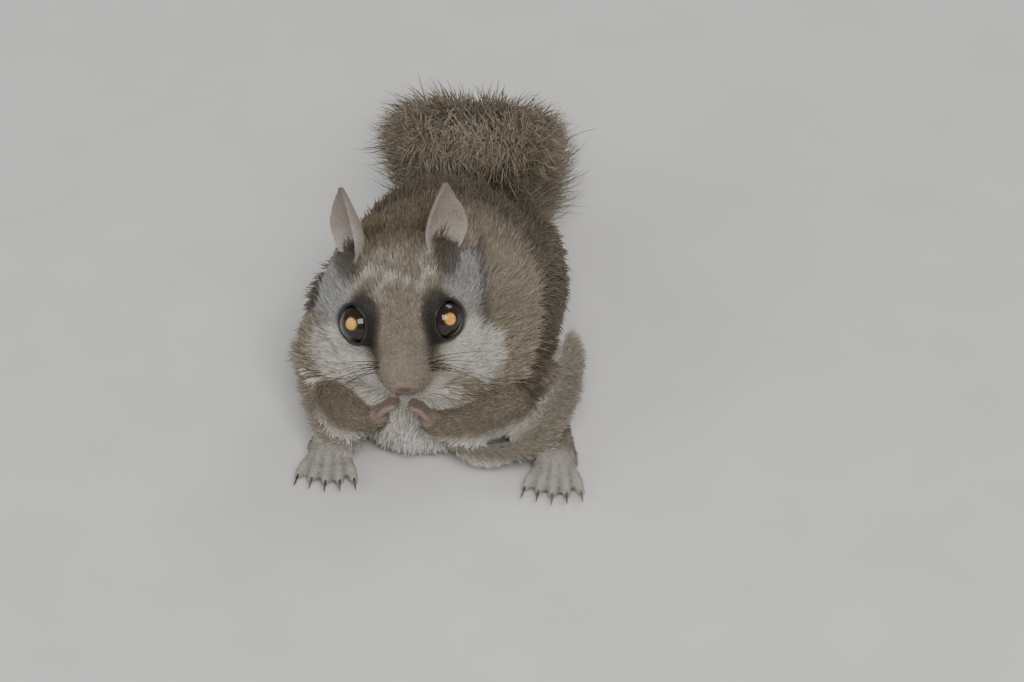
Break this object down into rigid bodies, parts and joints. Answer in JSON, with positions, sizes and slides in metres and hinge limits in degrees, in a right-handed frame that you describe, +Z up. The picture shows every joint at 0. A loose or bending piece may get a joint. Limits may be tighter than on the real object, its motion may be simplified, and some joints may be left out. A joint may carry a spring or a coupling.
{
  "type": "flying squirrel",
  "caption": "Life-size still model of a flying squirrel sitting hunched on its haunches with both hands at its mouth and its bushy tail laid over its back.",
  "frame": {"origin": "on the ground, under the middle of the animal's bounding box", "axes": "+Z up from the ground, the animal faces -Y, and +X is its own left side"},
  "size_m": [0.0756, 0.1286, 0.0734],
  "materials": {
    "face_fur": "short grey-brown face fur, grey and white on the cheeks",
    "ruff_fur": "thick grey-olive ruff fur",
    "belly_fur": "soft creamy white breast fur with grey roots",
    "back_fur": "dense silky brown back fur",
    "leg_fur": "grey-brown limb fur",
    "foot_fur": "short grey fur with pale toes",
    "hand_skin": "thinly furred pinkish hands",
    "fold_fur": "grey-brown gliding skin with a white edge",
    "ear_skin": "thin, nearly bare ears",
    "tail_fur": "long soft grey-brown tail hair",
    "eye": "large wet dark brown eyes"
  },
  "bodies": {
    "root": {"head": "face_fur", "neck": "ruff_fur", "breast": "belly_fur", "torso": "back_fur", "rump": "back_fur", "haunch_left": "leg_fur", "haunch_right": "leg_fur", "hind_foot_left": "foot_fur", "hind_foot_right": "foot_fur", "forearm_left": "leg_fur", "forearm_right": "leg_fur", "hand_left": "hand_skin", "hand_right": "hand_skin", "glide_fold_left": "fold_fur", "glide_fold_right": "fold_fur", "ear_left": "ear_skin", "ear_right": "ear_skin", "eye_left": "eye", "eye_right": "eye", "tail_root": "tail_fur", "tail_middle": "tail_fur", "tail_end": "tail_fur"}
  },
  "joints": []
}
